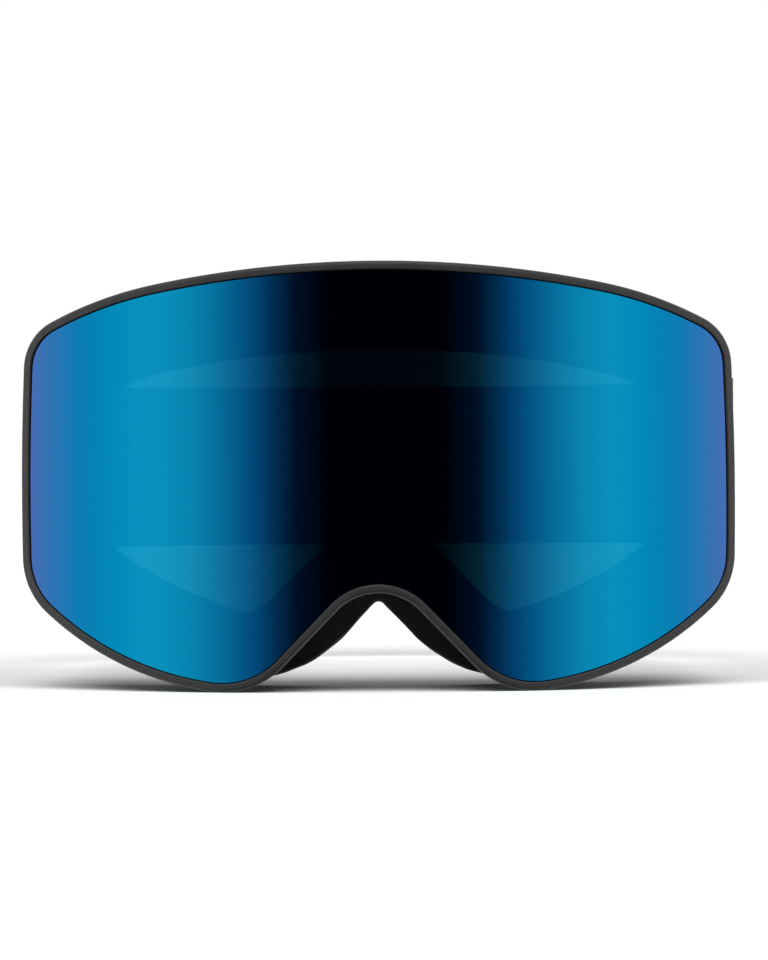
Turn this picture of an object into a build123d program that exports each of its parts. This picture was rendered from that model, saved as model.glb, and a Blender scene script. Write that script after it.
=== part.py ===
"""Ski goggles: magnetic mirrored lens module, moulded frame, face foam and an adjustable elastic strap.

Millimetres, +Z up, wearer's view along -Y. The goggles stand upright on the lower edge of their rim,
and the origin is on that surface, under the middle of the whole object.
"""

from math import asin, cos, radians, sin
import os

from build123d import *

# Outlines seen from the front: tangent arcs as (radius, turn in degrees), from the top centre
# round the right side to the lobe beside the nose, then a straight flank and the nose arch.
LENS_ARCS = [(298.0, 10.4), (101.0, 15.1), (10.3, 61.8), (680.0, 3.97), (15.4, 47.4), (76.0, 33.7), (18.5, 53.66)]
LENS_NOSE_RADIUS = 16.2
FOAM_ARCS = [(297.0, 6.3), (152.0, 12.2), (26.0, 68.0), (240.0, 5.5), (31.0, 54.5), (104.0, 14.7), (34.0, 65.2)]
FOAM_NOSE_RADIUS = 2.0
FOAM_TOP_Z = 95.5
OPENING_ARCS = [(270.0, 10.9), (79.5, 12.6), (6.4, 61.1), (151.0, 8.0), (19.0, 54.8), (117.0, 15.6), (6.8, 61.7)]
OPENING_NOSE_RADIUS = 15.9
OPENING_TOP_Z = 83.3

# Front stack, all layers of upright cylinders about one axis.
LENS_RADIUS = 115.0
LENS_THICKNESS = 1.3
LENS_SPACE = 3.0
INNER_LENS_THICKNESS = 0.8
CARRIER_EDGE = 0.2
CARRIER_WIDTH = 5.0
CARRIER_DEPTH = 4.3
GASKET_WIDTH = 3.7
LENS_GAP = 0.3
RIM_WIDTH = 2.05
RIM_PROUD = 0.5
RIM_OUTER_ROUND = 0.9
RIM_INNER_ROUND = 0.35
SEAT_GAP = 0.4
SEAT_THICKNESS = 2.5
SEAT_INSET = 6.0
MAGNET_RADIUS = 1.8
MAGNET_DEPTH = 2.0
POCKET_CLEARANCE = 0.06
MAGNET_INSET = 2.7
MAGNET_SPOTS = [0.08, 0.25, 0.46, 0.74]

# Frame behind the rim, down to a second, tighter cylinder that fits the face.
WALL_INSET = 1.0
WALL_THICKNESS = 2.4
FACE_RADIUS = 100.0
FACE_DEPTH = 48.0
FLEECE_THICKNESS = 3.0
FOAM_MID_THICKNESS = 6.0
FOAM_BASE_THICKNESS = 7.0
FLANGE_THICKNESS = 2.0
FOAM_STEP = 0.5
VENT_LENGTH = 12.0
VENT_DEPTH = 7.0
TOP_VENTS_X = [8.5, 25.5, 42.5, 59.5]
BOTTOM_VENTS_X = [38.0, 52.0, 66.0]
VENT_FOAM_THICKNESS = 3.0
VENT_FOAM_GAP = 0.1

# Strap loop seen from above: from the middle of the back round to the straight side run.
STRAP_DEPTH = 250.0
STRAP_WIDTH = 45.0
STRAP_THICKNESS = 1.5
STRAP_Z = 55.0
STRAP_BACK = (148.0, 16.0)
STRAP_CORNER = (60.3, 70.5)
STRAP_SIDE_RUN = 86.0
ANCHOR_RUN = 22.0
JOINT_GAP = 0.3
GRIP_THICKNESS = 0.5
GRIP_HEIGHT = 2.0
GRIP_SPACING = 12.0
GRIP_CORNER_TURN = 40.0

# Outrigger arms, hinged on ears behind the frame's sides.
HINGE_X = 87.0
HINGE_DEPTH = 74.0
HINGE_Z = 55.0
PIN_RADIUS = 1.2
PIN_CLEARANCE = 0.05
PIN_HEAD_RADIUS = 2.0
PIN_HEAD_HEIGHT = 0.8
KNUCKLE_RADIUS = 2.8
KNUCKLE_HEIGHT = 30.0
KNUCKLE_GAP = 0.3
EAR_HEIGHT = 5.7
EAR_ROOT_DEPTH = 60.0
EAR_ROOT_X = 85.2
EAR_ROOT_RADIUS = 1.0
ARM_THICKNESS = 2.4
ARM_HEIGHT = 53.0
ARM_NECK = 0.8
ARM_FLARE = 12.0
ARM_CORNER = 3.5
ARM_END_CORNER = 1.8
SLOT_HEIGHT = 46.0
BAR_RADIUS = 2.1
BAR_HEIGHT = 50.0
WRAP_RADIUS = 2.9
SLOT_LENGTH = 3.8

# Ladder-lock sliders that ride on the straight side runs.
SLIDER_AT = 46.0
SLIDER_LENGTH = 14.0
SLIDER_HEIGHT = 52.0
SLIDER_WINDOW = 8.0
SLIDER_WINDOW_HEIGHT = 46.4
SLIDER_PLATE = 2.2
SLIDER_ROUND = 2.5
SLIDER_LEG_LENGTH = 6.0
SLIDER_BAR_RADIUS = 1.2
BAR_CLEARANCE = 0.05

TALL = 200.0
FORM_DEPTH = 100.0
FORM_LEAD = 10.0


def outline_drop(arcs):
    """How far an outline's lowest point lies under its top centre."""
    drop = 0.0
    turned = 0.0
    for radius, turn in arcs:
        lowest = min(turned + turn, 180.0)
        drop += radius * (cos(radians(turned)) - cos(radians(lowest)))
        turned += turn
    return drop


# Places worked out from the driving sizes. Depths count backwards from the front of the lens.
LENS_TOP_Z = outline_drop(LENS_ARCS) + LENS_GAP + RIM_WIDTH
LENS_FRONT_Y = RIM_PROUD - (RIM_PROUD + STRAP_DEPTH + STRAP_THICKNESS / 2) / 2
LENS_AXIS_Y = LENS_FRONT_Y + LENS_RADIUS
FACE_AXIS_Y = LENS_FRONT_Y + FACE_DEPTH + FACE_RADIUS
HINGE_Y = LENS_FRONT_Y + HINGE_DEPTH
FORM_PLANE = Plane.XZ.offset(FORM_LEAD - LENS_FRONT_Y)
LENS_BACK_RADIUS = LENS_RADIUS - LENS_THICKNESS
INNER_LENS_RADIUS = LENS_BACK_RADIUS - LENS_SPACE
SEAT_RADIUS = LENS_BACK_RADIUS - CARRIER_DEPTH - SEAT_GAP
RIM_BACK_RADIUS = SEAT_RADIUS - SEAT_THICKNESS
FOAM_MID_RADIUS = FACE_RADIUS + FLEECE_THICKNESS
FOAM_BASE_RADIUS = FOAM_MID_RADIUS + FOAM_MID_THICKNESS
FLANGE_BACK_RADIUS = FOAM_BASE_RADIUS + FOAM_BASE_THICKNESS
FLANGE_FRONT_RADIUS = FLANGE_BACK_RADIUS + FLANGE_THICKNESS


def arc_chain(start, direction, arcs, grow=0.0):
    """Adds tangent arcs that turn clockwise, each grown outwards; returns the end and its direction."""
    point = Vector(*start)
    heading = Vector(*direction)
    for radius, turn in arcs:
        arc = JernArc(start=point, tangent=heading, radius=radius + grow, arc_size=-turn)
        point = arc @ 1
        heading = arc % 1
    return point, heading


def half_outline(arcs, nose_radius, top_z, grow=0.0):
    """Adds the right half of a goggle outline, from the top centre to the top of the nose arch."""
    point, heading = arc_chain((0, top_z + grow), (1, 0), arcs, grow)
    flank_turn = sum(turn for _, turn in arcs) - 180.0
    arch_radius = nose_radius - grow
    flank_length = (point.X - arch_radius * sin(radians(flank_turn))) / cos(radians(flank_turn))
    flank = Line(point, point + heading * flank_length)
    JernArc(start=flank @ 1, tangent=heading, radius=arch_radius, arc_size=flank_turn)


def outline_face(arcs, nose_radius, top_z, grow=0.0):
    """The whole outline as a face on the form plane in front of the goggles."""
    with BuildSketch(FORM_PLANE) as face:
        with BuildLine():
            half_outline(arcs, nose_radius, top_z, grow)
            mirror(about=Plane.YZ)
        make_face()
    return face.sketch


def lens_face(grow=0.0):
    return outline_face(LENS_ARCS, LENS_NOSE_RADIUS, LENS_TOP_Z, grow)


def foam_face(grow=0.0):
    return outline_face(FOAM_ARCS, FOAM_NOSE_RADIUS, FOAM_TOP_Z, grow)


def opening_face(grow=0.0):
    return outline_face(OPENING_ARCS, OPENING_NOSE_RADIUS, OPENING_TOP_Z, grow)


def upright_cylinder(axis_y, radius, mode):
    """An upright cylinder taller than the goggles, kept from or cut out of the open part."""
    with Locations((0, axis_y, LENS_TOP_Z / 2)):
        Cylinder(radius, TALL, mode=mode)


def curved_layer(axis_y, outer_radius, inner_radius):
    """Keeps only what lies between two upright cylinders about one axis."""
    upright_cylinder(axis_y, outer_radius, Mode.INTERSECT)
    upright_cylinder(axis_y, inner_radius, Mode.SUBTRACT)


def curved_ring(outer_face, inner_face, axis_y, outer_radius, inner_radius):
    """A ring between two outlines, bent round an upright cylinder."""
    extrude(outer_face, amount=-FORM_DEPTH)
    extrude(inner_face, amount=-FORM_DEPTH, mode=Mode.SUBTRACT)
    curved_layer(axis_y, outer_radius, inner_radius)


def magnet_places(radius):
    """Planes on a lens cylinder at the magnets' middles, facing straight out of it."""
    with BuildLine() as path:
        half_outline(LENS_ARCS, LENS_NOSE_RADIUS, LENS_TOP_Z, -MAGNET_INSET)
    places = []
    for spot in MAGNET_SPOTS:
        place = path.wire() @ spot
        swing = asin(place.X / radius)
        for side in (1, -1):
            out = Vector(side * sin(swing), -cos(swing), 0)
            middle = Vector(side * place.X, LENS_AXIS_Y - radius * cos(swing), place.Y)
            places.append(Plane(origin=middle, x_dir=(0, 0, 1), z_dir=out))
    return places


def magnets(radius, clearance, mode):
    """Disc magnets, or their pockets, centred on a lens cylinder."""
    with Locations(*magnet_places(radius)):
        Cylinder(MAGNET_RADIUS + clearance, MAGNET_DEPTH + 2 * clearance, mode=mode)


def strap_band(arcs, run, inner, outer, bottom, top):
    """A strap-shaped wall: both halves of a loop seen from above, between two offsets of its line."""
    with BuildSketch(Plane.XY.offset(bottom)) as band:
        with BuildLine():
            ends = []
            for offset_out in (inner, outer):
                point, heading = arc_chain((0, STRAP_BACK_Y + offset_out), (1, 0), arcs, offset_out)
                ends.append(point)
                if run > 0:
                    side = Line(point, point + heading * run)
                    ends[-1] = side @ 1
            Line(ends[0], ends[1])
            mirror(about=Plane.YZ)
        make_face()
    extrude(band.sketch, amount=top - bottom)


STRAP_BACK_Y = LENS_FRONT_Y + STRAP_DEPTH
STRAP_BOTTOM = STRAP_Z - STRAP_WIDTH / 2
STRAP_TOP = STRAP_Z + STRAP_WIDTH / 2
HALF_STRAP = STRAP_THICKNESS / 2

# The right side run: from where the strap leaves the outrigger's bar, straight back to the corner.
with BuildLine() as strap_line:
    corner_end, side_heading = arc_chain((0, STRAP_BACK_Y), (1, 0), [STRAP_BACK, STRAP_CORNER])
RUN_START = corner_end + side_heading * STRAP_SIDE_RUN
RUN_BACK = side_heading * -1
RUN_OUT = Vector(-side_heading.Y, side_heading.X, 0)
BAR_PLACE = RUN_START - RUN_OUT * WRAP_RADIUS


def run_plane(along, out=0.0):
    """A plane on the side run: x back along the strap, y up, z out of the head."""
    spot = RUN_START + RUN_BACK * along + RUN_OUT * out
    return Plane(origin=(spot.X, spot.Y, STRAP_Z), x_dir=RUN_BACK, z_dir=RUN_OUT)


def run_floor(along, out=0.0):
    """A level plane at the strap's lower edge: x back along the strap, y towards the head."""
    spot = RUN_START + RUN_BACK * along + RUN_OUT * out
    return Plane(origin=(spot.X, spot.Y, STRAP_BOTTOM), x_dir=RUN_BACK, z_dir=(0, 0, 1))


# Lens module
with BuildPart() as outer_lens:
    extrude(lens_face(), amount=-FORM_DEPTH)
    curved_layer(LENS_AXIS_Y, LENS_RADIUS, LENS_BACK_RADIUS)

MAGNET_RADIUS_IN_CARRIER = SEAT_RADIUS + SEAT_GAP + MAGNET_DEPTH / 2 + POCKET_CLEARANCE
MAGNET_RADIUS_IN_SEAT = SEAT_RADIUS - MAGNET_DEPTH / 2 - POCKET_CLEARANCE

with BuildPart() as lens_carrier:
    curved_ring(
        lens_face(-CARRIER_EDGE),
        lens_face(-CARRIER_EDGE - CARRIER_WIDTH),
        LENS_AXIS_Y,
        LENS_BACK_RADIUS,
        LENS_BACK_RADIUS - CARRIER_DEPTH,
    )
    magnets(MAGNET_RADIUS_IN_CARRIER, POCKET_CLEARANCE, Mode.SUBTRACT)

with BuildPart() as lens_magnets:
    magnets(MAGNET_RADIUS_IN_CARRIER, 0.0, Mode.ADD)

GASKET_EDGE = CARRIER_EDGE + CARRIER_WIDTH + POCKET_CLEARANCE

with BuildPart() as lens_gasket:
    curved_ring(
        lens_face(-GASKET_EDGE),
        lens_face(-GASKET_EDGE - GASKET_WIDTH),
        LENS_AXIS_Y,
        LENS_BACK_RADIUS,
        INNER_LENS_RADIUS,
    )

with BuildPart() as inner_lens:
    extrude(lens_face(-GASKET_EDGE), amount=-FORM_DEPTH)
    curved_layer(LENS_AXIS_Y, INNER_LENS_RADIUS, INNER_LENS_RADIUS - INNER_LENS_THICKNESS)

# Front frame
with BuildPart() as rim_ring:
    curved_ring(
        lens_face(LENS_GAP + RIM_WIDTH),
        lens_face(LENS_GAP),
        LENS_AXIS_Y,
        LENS_RADIUS + RIM_PROUD,
        RIM_BACK_RADIUS,
    )
    front_faces = rim_ring.faces().filter_by(GeomType.CYLINDER).sort_by(SortBy.AREA)
    front_face = [f for f in front_faces if abs(f.radius - LENS_RADIUS - RIM_PROUD) < 0.01][-1]
    fillet(front_face.outer_wire().edges(), RIM_OUTER_ROUND)
    front_faces = rim_ring.faces().filter_by(GeomType.CYLINDER).sort_by(SortBy.AREA)
    front_face = [f for f in front_faces if abs(f.radius - LENS_RADIUS - RIM_PROUD) < 0.01][-1]
    fillet(front_face.inner_wires()[0].edges(), RIM_INNER_ROUND)

with BuildPart() as front_rim:
    curved_ring(
        lens_face(LENS_GAP + RIM_WIDTH / 2),
        lens_face(-SEAT_INSET),
        LENS_AXIS_Y,
        SEAT_RADIUS,
        RIM_BACK_RADIUS,
    )
    add(rim_ring.part)
    magnets(MAGNET_RADIUS_IN_SEAT, POCKET_CLEARANCE, Mode.SUBTRACT)

with BuildPart() as frame_magnets:
    magnets(MAGNET_RADIUS_IN_SEAT, 0.0, Mode.ADD)

# Frame behind the rim: a wall, a flange that carries the foam, vents and hinge ears
with BuildPart() as chassis_wall:
    extrude(lens_face(-WALL_INSET), amount=-FORM_DEPTH)
    extrude(lens_face(-WALL_INSET - WALL_THICKNESS), amount=-FORM_DEPTH, mode=Mode.SUBTRACT)
    upright_cylinder(LENS_AXIS_Y, RIM_BACK_RADIUS, Mode.INTERSECT)
    upright_cylinder(FACE_AXIS_Y, FLANGE_BACK_RADIUS, Mode.SUBTRACT)

with BuildPart() as face_flange:
    curved_ring(
        lens_face(-WALL_INSET),
        opening_face(),
        FACE_AXIS_Y,
        FLANGE_FRONT_RADIUS,
        FLANGE_BACK_RADIUS,
    )


def wall_middle_y(x):
    """Halfway between the rim's back and the flange's front, on the line x."""
    rim_y = LENS_AXIS_Y - (RIM_BACK_RADIUS**2 - x**2) ** 0.5
    flange_y = FACE_AXIS_Y - (FLANGE_FRONT_RADIUS**2 - x**2) ** 0.5
    return (rim_y + flange_y) / 2


def vent_cuts(places_x, z):
    """Upright cuts for the air slots on one wall, the same on both sides."""
    for x in places_x:
        for side in (1, -1):
            with BuildSketch(Plane.XY.offset(z)) as slot:
                with Locations((side * x, wall_middle_y(x))):
                    RectangleRounded(VENT_LENGTH, VENT_DEPTH, VENT_DEPTH / 2 - 0.5)
            extrude(slot.sketch, amount=LENS_TOP_Z / 4, mode=Mode.SUBTRACT)


def ear(bottom):
    """One hinge ear, tapering from the frame's side wall to the pin."""
    with BuildSketch(Plane.XY.offset(bottom)) as outline:
        with Locations((HINGE_X, HINGE_Y)):
            Circle(KNUCKLE_RADIUS)
        with Locations((EAR_ROOT_X, LENS_FRONT_Y + EAR_ROOT_DEPTH)):
            Circle(EAR_ROOT_RADIUS)
        make_hull()
        with Locations((HINGE_X, HINGE_Y)):
            Circle(PIN_RADIUS, mode=Mode.SUBTRACT)
    extrude(outline.sketch, amount=EAR_HEIGHT)


EAR_GAP_Z = KNUCKLE_HEIGHT / 2 + KNUCKLE_GAP

with BuildPart() as chassis:
    ear(HINGE_Z + EAR_GAP_Z)
    ear(HINGE_Z - EAR_GAP_Z - EAR_HEIGHT)
    mirror(about=Plane.YZ)
    add(chassis_wall.part)
    add(face_flange.part)
    vent_cuts(TOP_VENTS_X, LENS_TOP_Z * 0.85)
    vent_cuts(BOTTOM_VENTS_X, -FORM_LEAD / 2)


def vent_foam(low_x, high_x, low_z, high_z):
    """A foam strip glued behind the air slots, inside the wall, cut to a window."""
    wall_inside = WALL_INSET + WALL_THICKNESS + VENT_FOAM_GAP
    extrude(lens_face(-wall_inside), amount=-FORM_DEPTH)
    extrude(lens_face(-wall_inside - VENT_FOAM_THICKNESS), amount=-FORM_DEPTH, mode=Mode.SUBTRACT)
    upright_cylinder(LENS_AXIS_Y, RIM_BACK_RADIUS - VENT_FOAM_GAP, Mode.INTERSECT)
    upright_cylinder(FACE_AXIS_Y, FLANGE_FRONT_RADIUS + VENT_FOAM_GAP, Mode.SUBTRACT)
    with Locations(((low_x + high_x) / 2, 0, (low_z + high_z) / 2)):
        Box(high_x - low_x, 2 * TALL, high_z - low_z, mode=Mode.INTERSECT)


with BuildPart() as top_vent_foam:
    vent_foam(-68.0, 68.0, LENS_TOP_Z * 0.8, LENS_TOP_Z)

with BuildPart() as bottom_vent_foam_right:
    vent_foam(30.0, 75.0, 0.0, LENS_TOP_Z * 0.2)

with BuildPart() as bottom_vent_foam_left:
    mirror(bottom_vent_foam_right.part, about=Plane.YZ)

# Face foam, three layers
with BuildPart() as face_foam_base:
    curved_ring(foam_face(), opening_face(), FACE_AXIS_Y, FLANGE_BACK_RADIUS, FOAM_BASE_RADIUS)

with BuildPart() as face_foam_mid:
    curved_ring(
        foam_face(-FOAM_STEP), opening_face(FOAM_STEP), FACE_AXIS_Y, FOAM_BASE_RADIUS, FOAM_MID_RADIUS
    )

with BuildPart() as face_fleece:
    curved_ring(foam_face(), opening_face(FOAM_STEP), FACE_AXIS_Y, FOAM_MID_RADIUS, FACE_RADIUS)

# Hinge pin and outrigger on the right side
with BuildPart() as hinge_pin_right:
    with Locations((HINGE_X, HINGE_Y, HINGE_Z)):
        Cylinder(PIN_RADIUS, 2 * (EAR_GAP_Z + EAR_HEIGHT))
    with Locations((HINGE_X, HINGE_Y, HINGE_Z + EAR_GAP_Z + EAR_HEIGHT + PIN_HEAD_HEIGHT / 2)):
        Cylinder(PIN_HEAD_RADIUS, PIN_HEAD_HEIGHT)

ARM_NECK_Y = HINGE_Y + KNUCKLE_RADIUS + ARM_NECK
ARM_FLARE_Y = ARM_NECK_Y + ARM_FLARE
ARM_END_Y = BAR_PLACE.Y + BAR_RADIUS
SLOT_FRONT_Y = BAR_PLACE.Y - BAR_RADIUS - SLOT_LENGTH

with BuildPart() as outrigger_right:
    with BuildSketch(Plane.YZ.offset(HINGE_X - ARM_THICKNESS / 2)):
        with BuildLine():
            Polyline(
                (HINGE_Y, HINGE_Z + KNUCKLE_HEIGHT / 2),
                (ARM_NECK_Y, HINGE_Z + KNUCKLE_HEIGHT / 2),
                (ARM_FLARE_Y, HINGE_Z + ARM_HEIGHT / 2),
                (ARM_END_Y, HINGE_Z + ARM_HEIGHT / 2),
                (ARM_END_Y, HINGE_Z - ARM_HEIGHT / 2),
                (ARM_FLARE_Y, HINGE_Z - ARM_HEIGHT / 2),
                (ARM_NECK_Y, HINGE_Z - KNUCKLE_HEIGHT / 2),
                (HINGE_Y, HINGE_Z - KNUCKLE_HEIGHT / 2),
                close=True,
            )
        arm_outline = make_face()
        # The sketch runs along the arm in x and up in y.
        corners = arm_outline.vertices().sort_by(Axis.Y)
        fillet([c for c in corners if abs(c.Y - ARM_FLARE_Y) < 0.1], ARM_CORNER)
        fillet([c for c in corners if abs(c.Y - ARM_END_Y) < 0.1], ARM_END_CORNER)
        with Locations(((SLOT_FRONT_Y + ARM_END_Y) / 2 + ARM_THICKNESS, HINGE_Z)):
            Rectangle(ARM_END_Y - SLOT_FRONT_Y + 2 * ARM_THICKNESS, SLOT_HEIGHT, mode=Mode.SUBTRACT)
    extrude(amount=ARM_THICKNESS)
    with Locations((HINGE_X, HINGE_Y, HINGE_Z)):
        Cylinder(KNUCKLE_RADIUS, KNUCKLE_HEIGHT)
        Cylinder(PIN_RADIUS + PIN_CLEARANCE, KNUCKLE_HEIGHT, mode=Mode.SUBTRACT)
    with Locations((BAR_PLACE.X, BAR_PLACE.Y, HINGE_Z)):
        Cylinder(BAR_RADIUS, BAR_HEIGHT)

# Strap: folded round the outrigger's bar, doubled up to the slider, single round the back
with BuildPart() as strap_anchor_right:
    with BuildSketch(run_floor(0)) as folded:
        with Locations((ANCHOR_RUN / 2, 0), (ANCHOR_RUN / 2, 2 * WRAP_RADIUS)):
            Rectangle(ANCHOR_RUN, STRAP_THICKNESS)
        with Locations((0, WRAP_RADIUS)):
            Circle(WRAP_RADIUS + HALF_STRAP)
            Circle(WRAP_RADIUS - HALF_STRAP, mode=Mode.SUBTRACT)
        with Locations((ANCHOR_RUN / 2, WRAP_RADIUS)):
            Rectangle(ANCHOR_RUN, 2 * WRAP_RADIUS - STRAP_THICKNESS, mode=Mode.SUBTRACT)
    extrude(amount=STRAP_WIDTH)

with BuildPart() as strap_back:
    strap_band(
        [STRAP_BACK, STRAP_CORNER],
        STRAP_SIDE_RUN - ANCHOR_RUN - JOINT_GAP,
        -HALF_STRAP,
        HALF_STRAP,
        STRAP_BOTTOM,
        STRAP_TOP,
    )

with BuildPart() as strap_grip:
    for row in (-1, 0, 1):
        middle = STRAP_Z + row * GRIP_SPACING
        strap_band(
            [STRAP_BACK, (STRAP_CORNER[0], GRIP_CORNER_TURN)],
            0.0,
            -HALF_STRAP - GRIP_THICKNESS,
            -HALF_STRAP,
            middle - GRIP_HEIGHT / 2,
            middle + GRIP_HEIGHT / 2,
        )

# Slider: a plate with a window on the outside of the strap, and a bar on the inside for its tail
TAIL_LOOP_RADIUS = SLIDER_BAR_RADIUS + BAR_CLEARANCE + HALF_STRAP
SLIDER_BAR_OUT = TAIL_LOOP_RADIUS - 2 * WRAP_RADIUS
PLATE_OUT = HALF_STRAP + JOINT_GAP
LEG_DEPTH = PLATE_OUT - SLIDER_BAR_OUT + SLIDER_BAR_RADIUS
LEG_HEIGHT = (SLIDER_HEIGHT - SLIDER_WINDOW_HEIGHT) / 2

with BuildPart() as slider_right:
    with BuildSketch(run_plane(SLIDER_AT, PLATE_OUT)):
        RectangleRounded(SLIDER_LENGTH, SLIDER_HEIGHT, SLIDER_ROUND)
        Rectangle(SLIDER_WINDOW, SLIDER_WINDOW_HEIGHT, mode=Mode.SUBTRACT)
    extrude(amount=SLIDER_PLATE)
    with BuildSketch(run_plane(SLIDER_AT, PLATE_OUT)):
        for side in (1, -1):
            with Locations((0, side * (SLIDER_HEIGHT - LEG_HEIGHT) / 2)):
                Rectangle(SLIDER_LEG_LENGTH, LEG_HEIGHT)
    extrude(amount=-LEG_DEPTH)
    with BuildSketch(Plane.XY.offset(STRAP_Z - SLIDER_HEIGHT / 2)):
        bar_spot = run_plane(SLIDER_AT, SLIDER_BAR_OUT).origin
        with Locations((bar_spot.X, bar_spot.Y)):
            Circle(SLIDER_BAR_RADIUS)
    extrude(amount=SLIDER_HEIGHT)

TAIL_LENGTH = SLIDER_AT - ANCHOR_RUN - JOINT_GAP

with BuildPart() as strap_tail_right:
    with BuildSketch(run_floor(SLIDER_AT)):
        with Locations((-TAIL_LENGTH / 2, 2 * WRAP_RADIUS)):
            Rectangle(TAIL_LENGTH, STRAP_THICKNESS)
        with Locations((0, -SLIDER_BAR_OUT)):
            Circle(TAIL_LOOP_RADIUS + HALF_STRAP)
            Circle(TAIL_LOOP_RADIUS - HALF_STRAP, mode=Mode.SUBTRACT)
    extrude(amount=STRAP_WIDTH)

pieces = {
    "outer_lens": outer_lens,
    "lens_carrier": lens_carrier,
    "lens_magnets": lens_magnets,
    "lens_gasket": lens_gasket,
    "inner_lens": inner_lens,
    "front_rim": front_rim,
    "frame_magnets": frame_magnets,
    "chassis": chassis,
    "top_vent_foam": top_vent_foam,
    "bottom_vent_foam_right": bottom_vent_foam_right,
    "bottom_vent_foam_left": bottom_vent_foam_left,
    "face_foam_base": face_foam_base,
    "face_foam_mid": face_foam_mid,
    "face_fleece": face_fleece,
    "strap_back": strap_back,
    "strap_grip": strap_grip,
}
handed_pieces = {
    "hinge_pin": hinge_pin_right,
    "outrigger": outrigger_right,
    "strap_anchor": strap_anchor_right,
    "slider": slider_right,
    "strap_tail": strap_tail_right,
}
for name, right_piece in handed_pieces.items():
    with BuildPart() as left_piece:
        mirror(right_piece.part, about=Plane.YZ)
    pieces[name + "_right"] = right_piece
    pieces[name + "_left"] = left_piece

os.makedirs("parts", exist_ok=True)
for name, piece in pieces.items():
    piece.part.label = name
    export_step(piece.part, f"parts/{name}.step")
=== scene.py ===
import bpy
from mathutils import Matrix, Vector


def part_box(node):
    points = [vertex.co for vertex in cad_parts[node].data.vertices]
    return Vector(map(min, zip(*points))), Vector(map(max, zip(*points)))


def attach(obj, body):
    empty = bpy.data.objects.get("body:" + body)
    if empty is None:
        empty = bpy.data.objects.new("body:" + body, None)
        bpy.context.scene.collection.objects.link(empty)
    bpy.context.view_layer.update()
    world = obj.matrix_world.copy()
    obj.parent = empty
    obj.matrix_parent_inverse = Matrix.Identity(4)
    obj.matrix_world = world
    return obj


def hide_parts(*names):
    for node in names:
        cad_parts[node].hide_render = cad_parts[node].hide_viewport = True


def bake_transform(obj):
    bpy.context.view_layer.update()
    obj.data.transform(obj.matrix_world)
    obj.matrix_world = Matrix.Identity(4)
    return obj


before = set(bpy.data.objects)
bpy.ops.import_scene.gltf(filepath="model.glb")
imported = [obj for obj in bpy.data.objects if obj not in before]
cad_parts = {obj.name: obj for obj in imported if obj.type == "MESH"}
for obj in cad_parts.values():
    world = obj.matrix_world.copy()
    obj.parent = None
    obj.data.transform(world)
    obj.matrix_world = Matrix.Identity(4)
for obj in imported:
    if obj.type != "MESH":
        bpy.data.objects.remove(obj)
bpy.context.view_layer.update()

"""Looks for the ski goggles: mirrored lens, foam layers, woven strap and moulded plastic.

Sizes are in millimetres, as in the CAD model, and MM turns them into Blender's metres.
A flat outline is a list of complex numbers: across the face, and up.
"""

from cmath import exp
from math import ceil, cos, pi, radians, sin, sqrt

import bmesh
import bpy
from mathutils import Matrix, Vector, noise

MM = 0.001

# Outlines seen from the front: tangent arcs as (radius, turn in degrees), and the nose arch.
LENS_ARCS = [
    (298.0, 10.4),
    (101.0, 15.1),
    (10.3, 61.8),
    (680.0, 3.97),
    (15.4, 47.4),
    (76.0, 33.7),
    (18.5, 53.66),
]
LENS_NOSE_RADIUS = 16.2
LENS_TOP_GAP = 2.35
FOAM_ARCS = [
    (297.0, 6.3),
    (152.0, 12.2),
    (26.0, 68.0),
    (240.0, 5.5),
    (31.0, 54.5),
    (104.0, 14.7),
    (34.0, 65.2),
]
FOAM_NOSE_RADIUS = 2.0
FOAM_TOP_Z = 95.5
OPENING_ARCS = [
    (270.0, 10.9),
    (79.5, 12.6),
    (6.4, 61.1),
    (151.0, 8.0),
    (19.0, 54.8),
    (117.0, 15.6),
    (6.8, 61.7),
]
OPENING_NOSE_RADIUS = 15.9
OPENING_TOP_Z = 83.3

# Upright cylinders that the layers follow, from the front of the lens to the face.
LENS_FRONT_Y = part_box("outer_lens")[0].y / MM
LENS_RADIUS = 115.0
LENS_THICKNESS = 1.3
LENS_AXIS_Y = LENS_FRONT_Y + LENS_RADIUS
LENS_BEVEL = 0.12
LENS_REACH = 0.14         # how much closer to the rim the looks' lens comes than its CAD solid
LAYER_GAP = 0.06          # between a visual layer and the CAD surface it lies on
GASKET_EDGE = 5.26
GASKET_WIDTH = 3.7
GASKET_BACK_RADIUS = 110.7
SEAL_GAP = 0.1            # clear space round the seal
FACE_RADIUS = 100.0
FACE_AXIS_Y = LENS_FRONT_Y + 48.0 + FACE_RADIUS
FOAM_MID_RADIUS = 103.0
FOAM_BASE_RADIUS = 109.0
FLANGE_BACK_RADIUS = 116.0
FOAM_STEP = 0.5

# Strap loop seen from above, from the middle of the back round the right side to the outrigger.
STRAP_BACK_Y = LENS_FRONT_Y + 250.0
STRAP_WIDTH = 45.0
STRAP_THICKNESS = 1.5
STRAP_Z = 55.0
STRAP_BACK = (148.0, 16.0)
STRAP_CORNER = (60.3, 70.5)
STRAP_SIDE_RUN = 86.0
ANCHOR_RUN = 22.0
WRAP_RADIUS = 2.9
SLIDER_AT = 46.0
TAIL_LOOP_RADIUS = 2.0
TAIL_FLAP = 6.0
GRIP_SPACING = 12.0
GRIP_CORNER_TURN = 40.0

SPACING = 1.3           # between points of an outline
FLANK_POINTS = 16
ARCH_POINTS = 20


# ---------------------------------------------------------------- outlines and meshes

def outline_drop(arcs):
    """How far an outline's lowest point lies under its top centre."""
    drop = 0.0
    turned = 0.0
    for radius, turn in arcs:
        lowest = min(turned + turn, 180.0)
        drop += radius * (cos(radians(turned)) - cos(radians(lowest)))
        turned += turn
    return drop


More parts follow.
